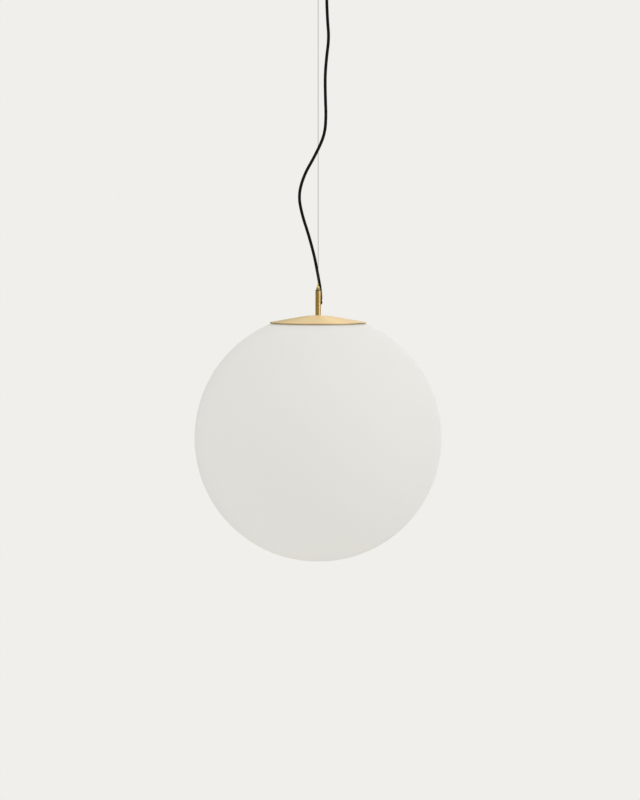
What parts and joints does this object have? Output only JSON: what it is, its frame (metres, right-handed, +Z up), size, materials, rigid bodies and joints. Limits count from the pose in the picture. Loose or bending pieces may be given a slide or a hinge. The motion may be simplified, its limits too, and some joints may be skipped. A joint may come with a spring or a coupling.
{
  "type": "pendant ceiling light",
  "caption": "Pendant light with an opal glass globe under a shallow brass cap, hung from a steel wire by a wire gripper on a short stem, with a loose black power cable.",
  "frame": {"origin": "on the ceiling, midway between the two ceiling screws", "axes": "+Z up, +X to the right of the lamp as seen from the front, -Y to the front"},
  "size_m": [0.4499, 0.45, 1.0674],
  "materials": {
    "satin_brass": "satin lacquered",
    "zinc_steel": "zinc plated",
    "spring_steel": "oiled",
    "wire_steel": "stranded",
    "opal_glass": "satin etched",
    "black_sheath": "matt",
    "black_plastic": "fine grain",
    "clear_silicone": "smooth",
    "white_plastic": "smooth",
    "porcelain": "unglazed",
    "core_insulation": "smooth",
    "contact_brass": "bare",
    "bulb_white": "smooth"
  },
  "bodies": {
    "ceiling_rose": {"ceiling_bracket": "zinc_steel", "hollow_stud": "zinc_steel", "stud_nuts": "zinc_steel", "canopy": "satin_brass", "canopy_nut": "satin_brass", "cable_gland": "black_plastic", "gland_nut": "black_plastic", "terminal_block": "white_plastic", "terminal_screws": "zinc_steel", "block_screw": "zinc_steel", "feed_cores": "core_insulation", "power_cable": "black_sheath"},
    "ball": {"ball_stop": "zinc_steel"},
    "wire": {"suspension_wire": "wire_steel"},
    "gripper": {"gripper_body": "satin_brass", "gripper_plug": "zinc_steel", "gripper_spring": "spring_steel"},
    "plunger": {"release_plunger": "satin_brass", "gripper_balls": "zinc_steel", "ball_cup": "zinc_steel"},
    "pendant": {"stem_tube": "satin_brass", "stem_bush": "black_plastic", "cable_grommet": "black_sheath", "cap_dish": "satin_brass", "nipple": "zinc_steel", "nipple_nuts": "zinc_steel", "nipple_washer": "zinc_steel", "nipple_spacer": "zinc_steel", "carrier_plate": "zinc_steel", "leaf_springs": "spring_steel", "spring_rivets": "zinc_steel", "holder_cap": "black_plastic", "holder_insert": "porcelain", "holder_contacts": "contact_brass", "screw_shell": "contact_brass", "holder_body": "black_plastic", "bulb_base": "contact_brass", "bulb_housing": "bulb_white", "bulb_dome": "bulb_white", "lamp_cores": "core_insulation"},
    "globe": {"globe_glass": "opal_glass", "mouth_seal": "clear_silicone"}
  },
  "joints": [
    {"name": "swing_side", "type": "hinge", "parent": "ceiling_rose", "child": "ball", "pos_m": [0, 0, -0.042], "axis": [0, 1, 0], "range_deg": [-15, 15], "deforming": ["power_cable"]},
    {"name": "swing_front", "type": "hinge", "parent": "ball", "child": "wire", "pos_m": [0, 0, -0.042], "axis": [1, 0, 0], "range_deg": [-15, 15], "deforming": ["power_cable"]},
    {"name": "height_slide", "type": "slide", "parent": "wire", "child": "gripper", "axis": [0, 0, 1], "range_m": [-0.02, 0], "deforming": ["power_cable"]},
    {"name": "plunger_press", "type": "slide", "parent": "gripper", "child": "plunger", "axis": [0, 0, 1], "range_m": [-0.002, 0], "stiffness_N_per_m": 1000, "springref_m": 0.002, "deforming": ["gripper_spring"]},
    {"name": "lamp_turn", "type": "hinge", "parent": "gripper", "child": "pendant", "pos_m": [0, 0, -0.5749], "axis": [0, 0, 1], "range_deg": [-90, 90], "deforming": ["power_cable"]},
    {"name": "globe_drop", "type": "slide", "parent": "pendant", "child": "globe", "axis": [0, 0, 1], "range_m": [-0.18, 0], "deforming": ["leaf_springs"]}
  ]
}
